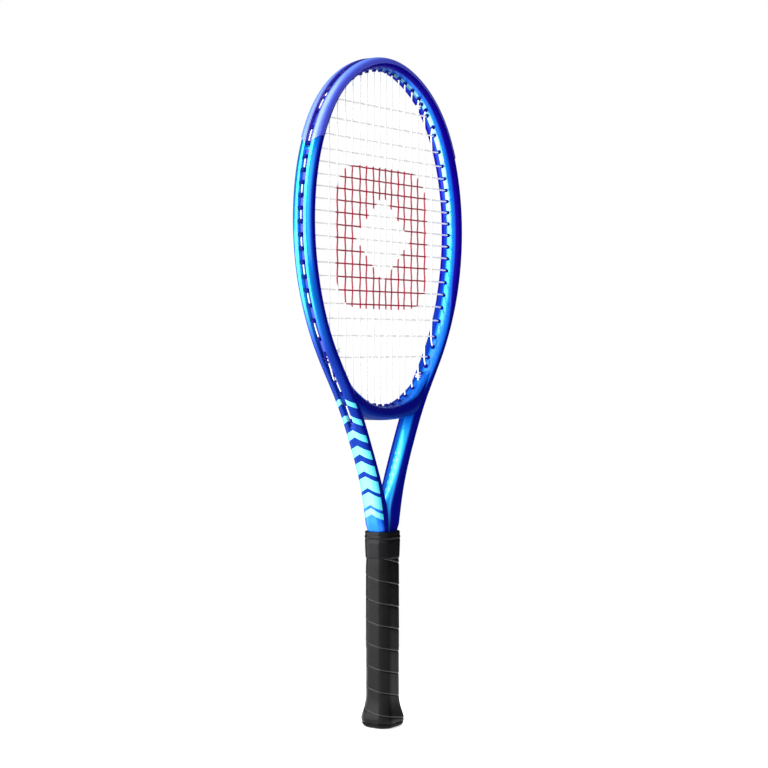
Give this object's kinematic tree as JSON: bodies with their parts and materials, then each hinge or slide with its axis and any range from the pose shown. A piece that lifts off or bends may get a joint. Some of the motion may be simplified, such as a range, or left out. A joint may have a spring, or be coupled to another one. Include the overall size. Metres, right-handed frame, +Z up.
{
  "type": "tennis racket",
  "caption": "Junior tennis racket with an open throat, woven string bed, bumper guard, spiral-wound octagonal grip, rubber collar and a butt cap with a trap door.",
  "frame": {"origin": "centre of the butt cap's end face, on the surface the racket stands on", "axes": "+Z up along the handle to the tip of the head, X across the head, +Y through the string bed with the front at -Y"},
  "size_m": [0.2686, 0.0352, 0.6597],
  "materials": {
    "frame_lacquer": "gloss lacquer over carbon fibre, dark blue to cyan",
    "bumper_nylon": "satin periwinkle nylon",
    "grommet_nylon": "satin navy nylon",
    "string": "white synthetic gut",
    "pallet_foam": "moulded rigid foam",
    "butt_plastic": "black moulded plastic",
    "staple_steel": "zinc-plated steel wire",
    "grip_leather": "black synthetic leather",
    "tape_vinyl": "black vinyl tape",
    "collar_rubber": "black rubber"
  },
  "bodies": {
    "racket": {"frame_hairpin": "frame_lacquer", "throat_bridge": "frame_lacquer", "bumper_guard": "bumper_nylon", "grommet_strip_left": "grommet_nylon", "grommet_strip_right": "grommet_nylon", "throat_grommet_strip": "grommet_nylon", "main_string": "string", "cross_string": "string", "handle_pallet_front": "pallet_foam", "handle_pallet_back": "pallet_foam", "butt_cap": "butt_plastic", "butt_staple_front_left": "staple_steel", "butt_staple_front_right": "staple_steel", "butt_staple_back_left": "staple_steel", "butt_staple_back_right": "staple_steel", "grip_start_staple": "staple_steel", "grip_wrap": "grip_leather", "finishing_tape": "tape_vinyl", "grip_collar": "collar_rubber"},
    "door": {"butt_cap_door": "butt_plastic"}
  },
  "joints": [
    {"name": "butt_cap_door", "type": "slide", "parent": "racket", "child": "door", "axis": [0, 0, -1], "range_m": [0, 0.02]}
  ]
}
